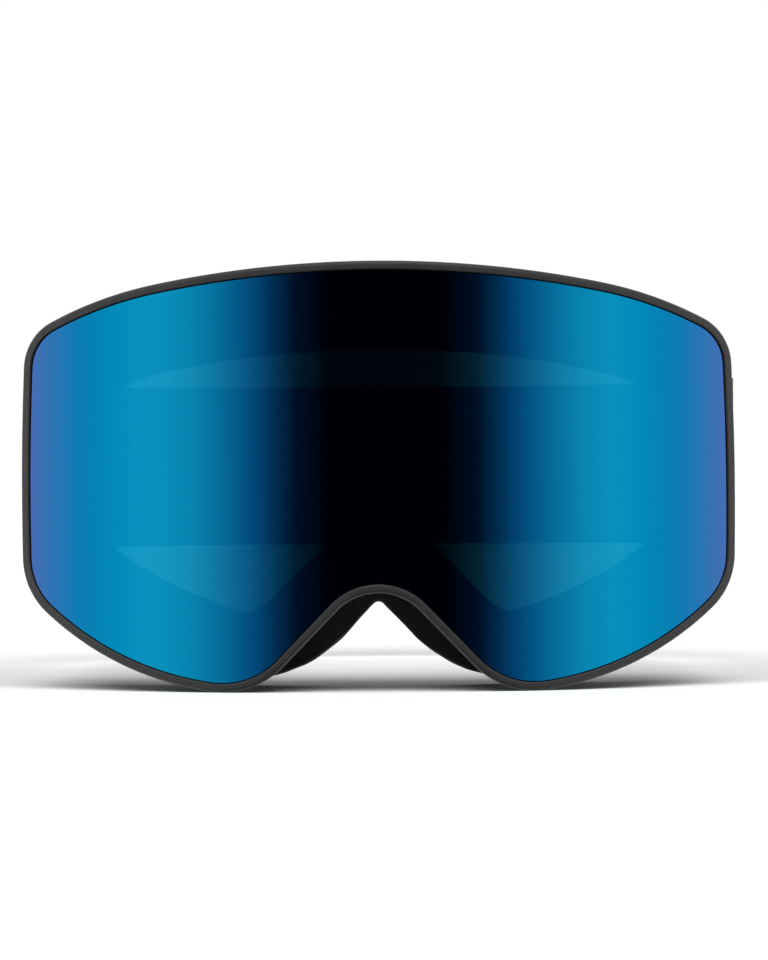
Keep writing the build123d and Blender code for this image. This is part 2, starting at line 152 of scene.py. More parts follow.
LENS_TOP_Z = outline_drop(LENS_ARCS) + LENS_TOP_GAP


def arc(start, heading, radius, turn, count):
    """Points of an arc after its start, clockwise for a positive turn, and the heading at its end."""
    centre = start - 1j * heading * radius * (1 if turn > 0 else -1)
    points = [centre + (start - centre) * exp(-1j * radians(turn) * i / count) for i in range(1, count + 1)]
    return points, heading * exp(-1j * radians(turn))


def line(start, end, count):
    """Points of a straight run after its start."""
    return [start + (end - start) * i / count for i in range(1, count + 1)]


def outline(arcs, nose_radius, top_z, grow=0.0, counts=None):
    """A closed goggle outline, clockwise from the top centre, grown outwards by grow."""
    counts = counts or arc_counts(arcs)
    points = [complex(0.0, top_z + grow)]
    heading = 1 + 0j
    for (radius, turn), count in zip(arcs, counts):
        more, heading = arc(points[-1], heading, radius + grow, turn, count)
        points += more
    flank_turn = sum(turn for _, turn in arcs) - 180.0
    arch_radius = nose_radius - grow
    flank = (points[-1].real - arch_radius * sin(radians(flank_turn))) / cos(radians(flank_turn))
    points += line(points[-1], points[-1] + heading * flank, FLANK_POINTS)
    more, _ = arc(points[-1], heading, arch_radius, -flank_turn, ARCH_POINTS)
    points += more
    return points + [complex(-p.real, p.imag) for p in reversed(points[1:-1])]


def arc_counts(arcs):
    """How many points each arc gets."""
    return [max(3, ceil(radius * radians(turn) / SPACING)) for radius, turn in arcs]


def lens_outline(grow=0.0):
    """The outer lens' edge."""
    return outline(LENS_ARCS, LENS_NOSE_RADIUS, LENS_TOP_Z, grow)


def foam_outline(grow=0.0):
    """The face foam's outer edge."""
    return outline(FOAM_ARCS, FOAM_NOSE_RADIUS, FOAM_TOP_Z, grow)


def opening_outline(grow=0.0):
    """The face opening, with as many points on each arc as the foam's outer edge has."""
    return outline(OPENING_ARCS, OPENING_NOSE_RADIUS, OPENING_TOP_Z, grow, arc_counts(FOAM_ARCS))


def bent(point, axis_y, radius):
    """A point of a flat outline moved onto an upright cylinder, in metres."""
    return Vector((point.real, axis_y - sqrt(radius**2 - point.real**2), point.imag)) * MM


def grid_faces(rows, columns, wrap_rows, wrap_columns):
    """Quads of a grid of vertices that is stored row by row."""
    faces = []
    for i in range(rows if wrap_rows else rows - 1):
        for j in range(columns if wrap_columns else columns - 1):
            right = (j + 1) % columns
            below = (i + 1) % rows
            faces.append((i * columns + j, i * columns + right, below * columns + right, below * columns + j))
    return faces


def turn_outward(work):
    """Every face of a closed shape turned to look outwards."""
    bmesh.ops.recalc_face_normals(work, faces=work.faces)
    if work.calc_volume(signed=True) < 0:
        bmesh.ops.reverse_faces(work, faces=work.faces)


def piece(name, vertices, faces, material, sharp=50.0):
    """A mesh object with outward faces, smooth except along edges sharper than the angle given."""
    mesh = bpy.data.meshes.new(name)
    mesh.from_pydata(vertices, [], faces)
    work = bmesh.new()
    work.from_mesh(mesh)
    turn_outward(work)
    work.to_mesh(mesh)
    work.free()
    mesh.polygons.foreach_set("use_smooth", [True] * len(mesh.polygons))
    mesh.set_sharp_from_angle(angle=radians(sharp))
    mesh.materials.append(material)
    made = bpy.data.objects.new(name, mesh)
    bpy.context.scene.collection.objects.link(made)
    return made


def join(parts):
    """The vertices and faces of several shapes as those of one shape."""
    vertices = []
    faces = []
    for part in parts:
        first = len(vertices)
        vertices += part[0]
        faces += [tuple(first + i for i in face) for face in part[1]]
    return vertices, faces


def uneven(point, size, depth, seed):
    """A smooth random offset between -depth and depth for a point in metres, all in millimetres."""
    return depth * noise.noise(point / (size * MM) + Vector((seed, 2 * seed, 3 * seed)))


# ---------------------------------------------------------------- materials

class Look:
    """A node material with one Principled shader and short ways to feed it."""

    def __init__(self, name, roughness=0.5, metallic=0.0, **sockets):
        self.material = bpy.data.materials.new(name)
        self.material.use_nodes = True
        self.nodes = self.material.node_tree.nodes
        self.links = self.material.node_tree.links
        self.shader = self.nodes["Principled BSDF"]
        self.output = self.nodes["Material Output"]
        self.shader.inputs["Roughness"].default_value = roughness
        self.shader.inputs["Metallic"].default_value = metallic
        for socket, value in sockets.items():
            self.shader.inputs[socket.replace("_", " ")].default_value = value
        self.place = self.nodes.new("ShaderNodeTexCoord")
        self.normal = None

    def node(self, kind, inputs=None, **settings):
        """A node with its inputs linked to sockets or set to values."""
        made = self.nodes.new("ShaderNode" + kind)
        for setting, value in settings.items():
            setattr(made, setting, value)
        for socket, value in (inputs or {}).items():
            if isinstance(value, bpy.types.NodeSocket):
                self.links.new(value, made.inputs[socket])
            else:
                made.inputs[socket].default_value = value
        return made

    def math(self, operation, first, second=0.0, third=0.0):
        return self.node("Math", {0: first, 1: second, 2: third}, operation=operation).outputs[0]

    def noise(self, size, detail=3.0, stretch=(1, 1, 1)):
        """Noise with bumps about size millimetres wide."""
        across = self.node("Mapping", {"Vector": self.place.outputs["Object"], "Scale": stretch})
        inputs = {"Vector": across.outputs[0], "Scale": 1.0 / (size * MM), "Detail": detail}
        return self.node("TexNoise", inputs).outputs["Fac"]

    def cells(self, size):
        """Distances in a field of cells about size millimetres wide."""
        inputs = {"Vector": self.place.outputs["Object"], "Scale": 1.0 / (size * MM)}
        return self.node("TexVoronoi", inputs).outputs["Distance"]

    def range(self, value, from_low, from_high, to_low=0.0, to_high=1.0, kind="SMOOTHSTEP"):
        inputs = {"Value": value, 1: from_low, 2: from_high, 3: to_low, 4: to_high}
        return self.node("MapRange", inputs, interpolation_type=kind).outputs["Result"]

    def ramp(self, value, stops):
        """A colour ramp: stops are (place, colour)."""
        made = self.node("ValToRGB", {"Fac": value})
        elements = made.color_ramp.elements
        for i, (place, colour) in enumerate(stops):
            stop = elements[i] if i < 2 else elements.new(place)
            stop.position = place
            stop.color = (*colour, 1.0)
        return made.outputs["Color"]

    def colour(self, value, stops):
        self.links.new(self.ramp(value, stops), self.shader.inputs["Base Color"])
        return self

    def rough(self, value, low, high):
        self.links.new(self.range(value, 0.3, 0.7, low, high), self.shader.inputs["Roughness"])
        return self

    def bump(self, value, depth):
        """Relief of a given depth in millimetres, on top of any relief that is there already."""
        inputs = {"Height": value, "Distance": depth * MM, "Strength": 1.0}
        if self.normal is not None:
            inputs["Normal"] = self.normal
        self.normal = self.node("Bump", inputs).outputs["Normal"]
        self.links.new(self.normal, self.shader.inputs["Normal"])
        return self


def grey(level, warm=0.0):
    """A grey with a slightly warm or cool cast."""
    return (level * (1 + warm), level, level * (1 - warm))


def plastic(name, level, roughness, grain=0.35, depth=0.012, warm=0.03):
    """Moulded plastic: an even colour with a faint cloudiness and a fine spark-eroded texture."""
    look = Look(name, roughness, Specular_IOR_Level=0.42)
    clouds = look.noise(9.0)
    look.colour(clouds, [(0.3, grey(level * 0.88, warm)), (0.7, grey(level * 1.12, warm))])
    look.rough(look.noise(1.6), roughness - 0.05, roughness + 0.06)
    look.bump(look.noise(grain, 2.0), depth)
    look.bump(look.noise(5.0, 1.0), depth * 2)
    return look.material


def metal(name, colour, roughness):
    """Plated or blackened metal with fine turning marks."""
    look = Look(name, roughness, 1.0)
    marks = look.noise(0.5, 3.0, (1, 1, 6))
    look.colour(marks, [(0.3, tuple(c * 0.8 for c in colour)), (0.7, colour)])
    look.rough(marks, roughness * 0.7, roughness * 1.4)
    look.bump(marks, 0.01)
    return look.material


def foam(name, level, pore, depth, sheen=0.15):
    """Cut open-cell foam: cells with thin struts between them, the pits painted darker as painted shade and
    the struts painted bright as a painted highlight.
    """
    look = Look(name, 0.95, Specular_IOR_Level=0.2, Sheen_Weight=sheen, Sheen_Roughness=0.5)
    cells = look.cells(pore)
    fine = look.cells(pore * 0.45)
    pore_relief_and_shade = look.math("MULTIPLY", cells, look.math("ADD", fine, 0.35))
    # The colour follows the cell relief: painted shade in the pits, painted highlight on the struts.
    look.colour(pore_relief_and_shade, [(0.05, grey(level * 0.45)), (0.3, grey(level)), (0.62, grey(level * 1.8))])
    look.bump(pore_relief_and_shade, depth)
    look.bump(look.noise(4.0), depth * 1.2)
    return look.material


def fleece_material():
    """Brushed micro fleece: short clumped pile, painted paler where the pile stands highest as a painted
    sheen.
    """
    look = Look("black_fleece", 1.0, Specular_IOR_Level=0.1, Sheen_Weight=0.5, Sheen_Roughness=0.35)
    pile = look.noise(0.42, 5.0)
    clumps = look.noise(1.7, 3.0)
    # Painted sheen: the colour is paler where the pile and the clumps stand highest.
    raised_pile_sheen = look.math("MULTIPLY", look.range(pile, 0.35, 0.75), look.range(clumps, 0.25, 0.75, 0.45, 1.0))
    look.colour(raised_pile_sheen, [(0.1, grey(0.004)), (0.45, grey(0.013, 0.05)), (0.95, grey(0.075, 0.06))])
    look.bump(clumps, 0.35)
    look.bump(pile, 0.3)
    return look.material


RIB_PITCH = 1.15
PICK_PITCH = 1.7
STRIPE_PLACE = 15.5      # from the strap's middle to a stripe's middle
STRIPE_HALF = 1.2


def woven(name, level, stripe):
    """Woven elastic: ribs along the strap crossed by picks, with tonal stripes near both edges; the colour
    runs dark in the weave's valleys and light on the thread crests, as painted shade and painted highlights.
    """
    look = Look(name, 0.82, Specular_IOR_Level=0.25, Sheen_Weight=0.2, Sheen_Roughness=0.4)
    parts = look.node("SeparateXYZ", {"Vector": look.place.outputs["UV"]})
    along = parts.outputs["X"]
    across = parts.outputs["Y"]
    rib_turn = look.math("MULTIPLY", across, 2 * pi / (RIB_PITCH * MM))
    rib = look.math("SINE", rib_turn)
    row = look.math("FLOOR", look.math("DIVIDE", across, RIB_PITCH * MM))
    shift = look.math("MULTIPLY", row, pi)
    pick_turn = look.math("MULTIPLY", along, 2 * pi / (PICK_PITCH * MM))
    pick = look.math("SINE", look.math("ADD", pick_turn, shift))
    threads = look.math("MULTIPLY_ADD", pick, 0.35, look.math("MULTIPLY", look.math("ABSOLUTE", rib), 0.65))
    fluff = look.noise(0.35, 4.0)
    weave_relief_and_shade = look.math("MULTIPLY_ADD", fluff, 0.3, threads)
    band = look.math("ABSOLUTE", look.math("SUBTRACT", across, STRAP_WIDTH / 2 * MM))
    near = look.math("ABSOLUTE", look.math("SUBTRACT", band, STRIPE_PLACE * MM))
    striped = look.range(near, STRIPE_HALF * MM, (STRIPE_HALF + 0.4) * MM, 1.0, 0.0)
    # Painted shade and highlights: both colour ramps run dark in the weave's valleys and light on the thread
    # crests.
    weave_colour_shaded = look.ramp(weave_relief_and_shade, [(0.1, grey(level * 0.35)), (0.6, grey(level)), (1.0, grey(level * 1.9))])
    stripe_colour_shaded = look.ramp(weave_relief_and_shade, [(0.1, tuple(c * 0.3 for c in stripe)), (0.9, stripe)])
    mixed = look.node("Mix", {"Factor": striped, "A": weave_colour_shaded, "B": stripe_colour_shaded}, data_type="RGBA")
    look.links.new(mixed.outputs["Result"], look.shader.inputs["Base Color"])
    look.bump(weave_relief_and_shade, 0.22)
    return look.material


def silicone():
    """Glossy dark silicone, a little dusty where it has been handled."""
    look = Look("silicone", 0.28, Coat_Weight=0.3, Coat_Roughness=0.2, Subsurface_Weight=0.1)
    dust = look.noise(3.0, 4.0)
    look.colour(dust, [(0.35, grey(0.012)), (0.75, grey(0.03))])
    look.rough(dust, 0.2, 0.42)
    look.bump(look.noise(0.8), 0.03)
    return look.material


def thread():
    """Waxed, twisted sewing thread, painted lighter on its raised ridges as a painted highlight."""
    look = Look("thread", 0.6, Sheen_Weight=0.2)
    twist_relief_and_sheen = look.noise(0.25, 2.0, (1, 1, 0.4))
    # Painted highlight: the colour follows the thread's relief, light on its ridges and dark between them.
    look.colour(twist_relief_and_sheen, [(0.3, grey(0.02)), (0.7, grey(0.09))])
    look.bump(twist_relief_and_sheen, 0.08)
    return look.material


MIRROR_HALF_WIDTH = 85.0
CLEARER_BETWEEN = (8.0, 55.0)     # the see-through share grows between these distances from the middle
CLEAR_SHARE = (0.006, 0.13)


def lens_mirror():
    """Mirror coating: blue and a little see-through; the darker, violet colour towards the wrapped sides is a
    painted reflection tint, set by distance from the middle in place of the coating's colour shift at a
    grazing look.
    """
    look = Look("lens_mirror", 0.05, 1.0)
    parts = look.node("SeparateXYZ", {"Vector": look.place.outputs["Object"]})
    out = look.math("ABSOLUTE", parts.outputs["X"])
    share = look.math("DIVIDE", out, MIRROR_HALF_WIDTH * MM)
    # Painted reflection tint: darker and more violet with distance from the middle, in place of the coating's
    # grazing-angle colour shift.
    look.colour(
        share,
        [
            (0.0, (0.004, 0.30, 0.54)),
            (0.68, (0.003, 0.30, 0.54)),
            (0.75, (0.0, 0.27, 0.515)),
            (0.81, (0.001, 0.237, 0.488)),
            (0.87, (0.004, 0.207, 0.48)),
            (0.93, (0.02, 0.186, 0.478)),
            (1.0, (0.055, 0.16, 0.475)),
        ],
    )
    clear = look.node("BsdfTransparent", {"Color": (0.12, 0.95, 0.9, 1.0)})
    amount = look.range(out, *(x * MM for x in CLEARER_BETWEEN), *CLEAR_SHARE)
    mixed = look.node("MixShader", {"Fac": amount, 1: look.shader.outputs[0], 2: clear.outputs[0]})
    look.links.new(mixed.outputs[0], look.output.inputs["Surface"])
    look.bump(look.noise(30.0, 1.0), 0.02)
    return look.material


def lens_back_material():
    """The wearer's side of the lens: smoke-tinted and glossy."""
    look = Look("lens_smoke", 0.08, Specular_IOR_Level=0.5)
    look.colour(look.noise(25.0), [(0.3, (0.006, 0.006, 0.009)), (0.7, (0.01, 0.009, 0.012))])
    clear = look.node("BsdfTransparent", {"Color": (0.42, 0.4, 0.44, 1.0)})
    mixed = look.node("MixShader", {"Fac": 0.9, 1: look.shader.outputs[0], 2: clear.outputs[0]})
    look.links.new(mixed.outputs[0], look.output.inputs["Surface"])
    return look.material


def clear_plastic():
    """Thin clear plastic: see-through from the front and glossy at a grazing look."""
    look = Look("clear_plastic", 0.06, Specular_IOR_Level=0.5)
    haze = look.noise(18.0)
    look.colour(haze, [(0.3, (0.01, 0.012, 0.014)), (0.7, (0.02, 0.022, 0.026))])
    clear = look.node("BsdfTransparent", {"Color": (0.9, 0.93, 0.94, 1.0)})
    gloss = look.node("LayerWeight", {"Blend": 0.25}).outputs["Fresnel"]
    amount = look.range(gloss, 0.0, 1.0, 0.05, 0.8, "LINEAR")
    mixed = look.node("MixShader", {"Fac": amount, 1: clear.outputs[0], 2: look.shader.outputs[0]})
    look.links.new(mixed.outputs[0], look.output.inputs["Surface"])
    return look.material


# ---------------------------------------------------------------- stage, light and camera

CAMERA_DISTANCE = 1250.0
CAMERA_HEIGHT = 50.85
CAMERA_AZIMUTH = 0.3
CAMERA_AIM = 0.072       # degrees by which it looks past the lens' middle
CAMERA_ROLL = -0.38
FOCAL_LENGTH = 196.1
SENSOR = 36.0


def camera():
    """A long lens level with the goggles, almost straight ahead."""
    azimuth = radians(CAMERA_AZIMUTH)
    data = bpy.data.cameras.new("camera")
    data.sensor_width = SENSOR
    data.lens = FOCAL_LENGTH
    data.clip_start = 0.01
    data.clip_end = 100.0
    made = bpy.data.objects.new("camera", data)
    front = Vector((0.0, LENS_FRONT_Y, CAMERA_HEIGHT)) * MM
    made.location = front + CAMERA_DISTANCE * MM * Vector((sin(azimuth), -cos(azimuth), 0.0))
    turned = Matrix.Rotation(azimuth - radians(CAMERA_AIM), 4, "Z") @ Matrix.Rotation(pi / 2, 4, "X")
    made.rotation_euler = (turned @ Matrix.Rotation(radians(CAMERA_ROLL), 4, "Z")).to_euler()
    bpy.context.scene.collection.objects.link(made)
    bpy.context.scene.camera = made


def emission(name, strength):
    """A plain light-giving material and the node that feeds its strength."""
    material = bpy.data.materials.new(name)
    material.use_nodes = True
    nodes = material.node_tree.nodes
    nodes.remove(nodes["Principled BSDF"])
    light = nodes.new("ShaderNodeEmission")
    light.inputs["Strength"].default_value = strength
    material.node_tree.links.new(light.outputs[0], nodes["Material Output"].inputs["Surface"])
    return material, light


RING_RADIUS = 1600.0
RING_HEIGHT = 2500.0
RING_COLUMNS = 96
RING_STRENGTH = 1.12
RING_CENTRE = 2.0        # degrees by which the dark middle stands off to the side
RING_LEVELS = [           # (degrees from the dark middle, green, blue)
    (14.0, 0.0, 0.002),
    (22.0, 0.014, 0.028),
    (27.0, 0.075, 0.132),
    (32.0, 0.19, 0.32),
    (37.0, 0.35, 0.465),
    (42.5, 0.55, 0.64),
    (49.0, 0.78, 0.82),
    (56.0, 0.93, 0.94),
    (64.0, 0.97, 0.97),
]


def reflection_ring():
    """A wall of soft light all round, dark straight ahead, that only glossy surfaces see."""
    vertices = []
    for z in (-RING_HEIGHT, RING_HEIGHT):
        for i in range(RING_COLUMNS):
            turn = 2 * pi * i / RING_COLUMNS
            vertices.append(Vector((RING_RADIUS * cos(turn), RING_RADIUS * sin(turn), z)) * MM)
    material, light = emission("ring_light", RING_STRENGTH)
    ring = piece("reflection_ring", vertices, grid_faces(2, RING_COLUMNS, False, True), material)
    nodes = material.node_tree.nodes
    links = material.node_tree.links
    place = nodes.new("ShaderNodeTexCoord")
    parts = nodes.new("ShaderNodeSeparateXYZ")
    turned = nodes.new("ShaderNodeMath")
    turned.operation = "ARCTAN2"
    backward = nodes.new("ShaderNodeMath")
    backward.operation = "MULTIPLY"
    backward.inputs[1].default_value = -1.0
    links.new(place.outputs["Object"], parts.inputs[0])
    links.new(parts.outputs["X"], turned.inputs[0])
    links.new(parts.outputs["Y"], backward.inputs[0])
    links.new(backward.outputs[0], turned.inputs[1])
    share = nodes.new("ShaderNodeMapRange")
    share.inputs["From Min"].default_value = -pi
    share.inputs["From Max"].default_value = pi
    links.new(turned.outputs[0], share.inputs["Value"])
    ramp = nodes.new("ShaderNodeValToRGB")
    links.new(share.outputs[0], ramp.inputs["Fac"])
    links.new(ramp.outputs["Color"], light.inputs["Color"])
    elements = ramp.color_ramp.elements
    stops = []
    for side in (-1, 1):
        for angle, green, blue in RING_LEVELS:
            stops.append((0.5 + (RING_CENTRE + side * angle) / 360.0, green, blue))
    stops.sort()
    for i, (place_on_ring, green, blue) in enumerate(stops):
        stop = elements[i] if i < 2 else elements.new(place_on_ring)
        stop.position = place_on_ring
        stop.color = (green, green, blue, 1.0)
    ring.visible_camera = False
    ring.visible_diffuse = False
    ring.visible_shadow = False
    ring.visible_transmission = False
    ring.visible_volume_scatter = False


FLOOR_HALF = 30.0        # metres
LIGHT_POWER = 3.2
LIGHT_SPREAD = 64.0
LIGHT_TILT = 39.0
SURROUND_LIGHT = 0.42    # what the surround gives the object, where the camera sees 1


def stage_and_light():
    """A white floor under one broad light from above and in front, with a white surround."""
    corners = [(x * FLOOR_HALF, y * FLOOR_HALF, 0.0) for x, y in ((-1, -1), (1, -1), (1, 1), (-1, 1))]
    look = Look("white_floor", 0.9, Specular_IOR_Level=0.0)
    look.colour(look.noise(60.0), [(0.3, grey(0.88)), (0.7, grey(0.9))])
    floor = piece("floor", corners, [(0, 1, 2, 3)], look.material)
    floor.visible_glossy = False
    sun = bpy.data.lights.new("overhead_light", "SUN")
    sun.energy = LIGHT_POWER
    sun.angle = radians(LIGHT_SPREAD)
    lamp = bpy.data.objects.new("overhead_light", sun)
    lamp.rotation_euler = (radians(LIGHT_TILT), 0.0, 0.0)
    bpy.context.scene.collection.objects.link(lamp)
    world = bpy.data.worlds.new("studio")
    bpy.context.scene.world = world
    world.use_nodes = True
    nodes = world.node_tree.nodes
    links = world.node_tree.links
    background = nodes["Background"]
    path = nodes.new("ShaderNodeLightPath")
    level = nodes.new("ShaderNodeMapRange")
    level.inputs["To Min"].default_value = SURROUND_LIGHT
    level.inputs["To Max"].default_value = 1.0
    links.new(path.outputs["Is Camera Ray"], level.inputs["Value"])
    links.new(level.outputs[0], background.inputs["Strength"])
    background.inputs["Color"].default_value = (1.0, 1.0, 1.0, 1.0)
    bpy.context.scene.view_settings.view_transform = "Standard"


# ---------------------------------------------------------------- lens

LENS_CUT = 1.5


def lens():
    """The mirrored lens: a flat slab cut into upright strips, then bent round its cylinder."""
    back_radius = LENS_RADIUS - LENS_THICKNESS + LAYER_GAP
    loops = [
        (lens_outline(LENS_REACH - LENS_BEVEL), LENS_RADIUS),
        (lens_outline(LENS_REACH), LENS_RADIUS - LENS_BEVEL),
        (lens_outline(LENS_REACH), back_radius + LENS_BEVEL),
        (lens_outline(LENS_REACH - LENS_BEVEL), back_radius),
    ]
    count = len(loops[0][0])
    vertices = [(p.real, radius, p.imag) for loop, radius in loops for p in loop]
    faces = grid_faces(len(loops), count, False, True)
    faces.append(tuple(range(count)))
    faces.append(tuple(range(3 * count, 4 * count)))
    made = piece("mirrored_lens", vertices, faces, MIRROR)
    mesh = made.data
    mesh.materials.append(LENS_EDGE)
    mesh.materials.append(LENS_BACK)
    work = bmesh.new()
    work.from_mesh(mesh)
    for face in work.faces:
        depths = [v.co.y for v in face.verts]
        if len(face.verts) == 4:
            face.material_index = 1
        else:
            face.material_index = 0 if max(depths) > LENS_RADIUS - LENS_BEVEL / 2 else 2
    side = max(v.co.x for v in work.verts)
    cuts = int(side / LENS_CUT)
    for i in range(-cuts, cuts + 1):
        everything = work.verts[:] + work.edges[:] + work.faces[:]
        bmesh.ops.bisect_plane(work, geom=everything, plane_co=(i * LENS_CUT, 0, 0), plane_no=(1, 0, 0))
    for vertex in work.verts:
        vertex.co = bent(complex(vertex.co.x, vertex.co.z), LENS_AXIS_Y, vertex.co.y)
    turn_outward(work)
    work.to_mesh(mesh)
    work.free()
    mesh.polygons.foreach_set("use_smooth", [True] * len(mesh.polygons))
    mesh.set_sharp_from_angle(angle=radians(30.0))
    axis = Vector((0.0, LENS_AXIS_Y * MM, 0.0))
    normals = [Vector((0.0, 0.0, 0.0))] * len(mesh.loops)
    for polygon in mesh.polygons:
        if polygon.material_index == 1:
            continue
        for index in polygon.loop_indices:
            out = mesh.vertices[mesh.loops[index].vertex_index].co - axis
            out.z = 0.0
            out.normalize()
            normals[index] = out if polygon.material_index == 0 else -out
    mesh.normals_split_custom_set(normals)
    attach(made, "lens_module")
    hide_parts("outer_lens")


# ---------------------------------------------------------------- foam rings

CORNER_STEPS = 4
WALL_STEPS = 4
FACE_STEPS = 10


def ring_section(front, back, rounding, bulge, crown):
    """A foam ring's section as (share, inset, radius): share of the way in, plus an inset in millimetres."""
    quarter = [radians(90.0 * i / CORNER_STEPS) for i in range(CORNER_STEPS + 1)]
    tall = front - back
    outer = []
    for turn in reversed(quarter):
        outer.append((rounding * (1 - cos(turn)), front - rounding * (1 - sin(turn))))
    for i in range(1, WALL_STEPS):
        share = i / WALL_STEPS
        radius = front - rounding - (tall - 2 * rounding) * share
        outer.append((-bulge * sin(pi * share), radius))
    for turn in quarter:
        outer.append((rounding * (1 - cos(turn)), back + rounding * (1 - sin(turn))))
    section = [(0.0, inset, radius) for inset, radius in outer]
    for i in range(1, FACE_STEPS):
        share = i / FACE_STEPS
        section.append((share, rounding * (1 - 2 * share), back - crown * sin(pi * share) ** 0.7))
    section += [(1.0, -inset, radius) for inset, radius in reversed(outer)]
    for i in range(1, FACE_STEPS):
        share = 1 - i / FACE_STEPS
        section.append((share, rounding * (1 - 2 * share), front))
    return section


def ring(outer, inner, axis_y, section, roughly, seed):
    """Vertices and faces of a closed ring swept round between two outlines."""
    vertices = []
    for start, end in zip(outer, inner):
        width = abs(end - start)
        for share, inset, radius in section:
            flat = start + (end - start) * (share + inset / width)
            spot = bent(flat, axis_y, radius)
            offset = uneven(spot, 5.0, roughly, seed)
            vertices.append(bent(flat + (end - start) / width * offset, axis_y, radius - offset))
    return vertices, grid_faces(len(outer), len(section), True, True)


def foam_ring(name, node, outer, inner, axis_y, section, material, body, roughly, seed):
    """A padded ring that replaces a soft CAD node."""
    vertices, faces = ring(outer, inner, axis_y, section, roughly, seed)
    made = piece(name, vertices, faces, material, 80.0)
    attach(made, body)
    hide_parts(node)


def foams():
    """Three bonded layers on the face side, and the thin ring that holds the two lenses apart."""
    foam_ring(
        "foam_base", "face_foam_base", foam_outline(), opening_outline(), FACE_AXIS_Y,
        ring_section(FLANGE_BACK_RADIUS, FOAM_BASE_RADIUS, 0.7, 0.35, 0.0),
        foam("charcoal_foam", 0.014, 0.42, 0.16), "frame", 0.25, 1,
    )
    foam_ring(
        "foam_mid", "face_foam_mid", foam_outline(-FOAM_STEP), opening_outline(FOAM_STEP), FACE_AXIS_Y,
        ring_section(FOAM_BASE_RADIUS, FOAM_MID_RADIUS, 0.8, 0.5, 0.0),
        foam("soft_black_foam", 0.011, 0.36, 0.14), "frame", 0.3, 5,
    )
    foam_ring(
        "fleece_lining", "face_fleece", foam_outline(), opening_outline(FOAM_STEP), FACE_AXIS_Y,
        ring_section(FOAM_MID_RADIUS, FACE_RADIUS, 1.3, 0.2, 0.9),
        fleece_material(), "frame", 0.35, 9,
    )
    foam_ring(
        "lens_seal", "lens_gasket",
        lens_outline(-GASKET_EDGE - SEAL_GAP), lens_outline(-GASKET_EDGE - GASKET_WIDTH), LENS_AXIS_Y,
        ring_section(LENS_RADIUS - LENS_THICKNESS - SEAL_GAP, GASKET_BACK_RADIUS + SEAL_GAP, 0.5, 0.1, 0.0),
        foam("grey_seal_foam", 0.03, 0.4, 0.1), "lens_module", 0.04, 3,
    )


def vent_foam(name, node, slot_material):
    """A strip of filter foam behind the air slots: its CAD solid, softened and roughened."""
    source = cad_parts[node].data
    work = bmesh.new()
    work.from_mesh(source)
    bmesh.ops.remove_doubles(work, verts=work.verts, dist=0.01 * MM)
    mesh = bpy.data.meshes.new(name)
    work.to_mesh(mesh)
    work.free()
    made = bpy.data.objects.new(name, mesh)
    bpy.context.scene.collection.objects.link(made)
    remesh = made.modifiers.new("cells", "REMESH")
    remesh.mode = "VOXEL"
    remesh.voxel_size = 0.8 * MM
    soft = made.modifiers.new("soft", "SMOOTH")
    soft.iterations = 3
    shape = bpy.data.meshes.new_from_object(made.evaluated_get(bpy.context.evaluated_depsgraph_get()))
    made.modifiers.clear()
    made.data = shape
    shape.materials.clear()
    shape.materials.append(slot_material)
    for vertex in shape.vertices:
        vertex.co += vertex.normal * uneven(vertex.co, 2.0, 0.15 * MM, 4)
    shape.polygons.foreach_set("use_smooth", [True] * len(shape.polygons))
    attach(made, "frame")
    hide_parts(node)


# ---------------------------------------------------------------- strap

STRAP_STEP = 2.0
FOLD_STEPS = 14


def strap_line(side):
    """The right or left half strap seen from above, from the middle of the back to the sewn end."""
    steps = [STRAP_BACK, STRAP_CORNER, (None, STRAP_SIDE_RUN), (WRAP_RADIUS, 180.0), (None, ANCHOR_RUN)]
    return plan_line(complex(0.0, STRAP_BACK_Y), 1 + 0j, steps, side)


def plan_line(start, heading, steps, side):
    """A chain of clockwise arcs (radius, turn) and runs (None, length), as (point, heading, length)."""
    stations = [(start, heading, 0.0)]
    for radius, amount in steps:
        point, heading, length = stations[-1]
        if radius is None:
            count = ceil(amount / STRAP_STEP)
            for i, spot in enumerate(line(point, point + heading * amount, count), 1):
                stations.append((spot, heading, length + amount * i / count))
        else:
            run = radius * radians(amount)
            count = max(FOLD_STEPS, ceil(run / STRAP_STEP))
            spots, _ = arc(point, heading, radius, amount, count)
            for i, spot in enumerate(spots, 1):
                turned = heading * exp(-1j * radians(amount) * i / count)
                stations.append((spot, turned, length + run * i / count))
    if side < 0:
        return [(complex(-p.real, p.imag), complex(-h.real, h.imag), length) for p, h, length in stations]
    return stations


def web_section(width, thickness):
    """A woven strap's section as (out, up): flat faces, soft edges a little thicker than the middle."""
    edge = thickness / 2
    rise = 14
    section = []
    for side in (1, -1):
        for i in range(rise + 1):
            up = side * (width / 2 - edge) * (1 - 2 * i / rise)
            rim = (abs(up) / (width / 2)) ** 12
            section.append((side * (thickness / 2 - 0.08 + 0.08 * rim), up))
        for i in range(1, 5):
            turn = radians(180.0 * i / 5)
            section.append((side * edge * cos(turn), -side * (width / 2 - edge + edge * sin(turn))))
    return section


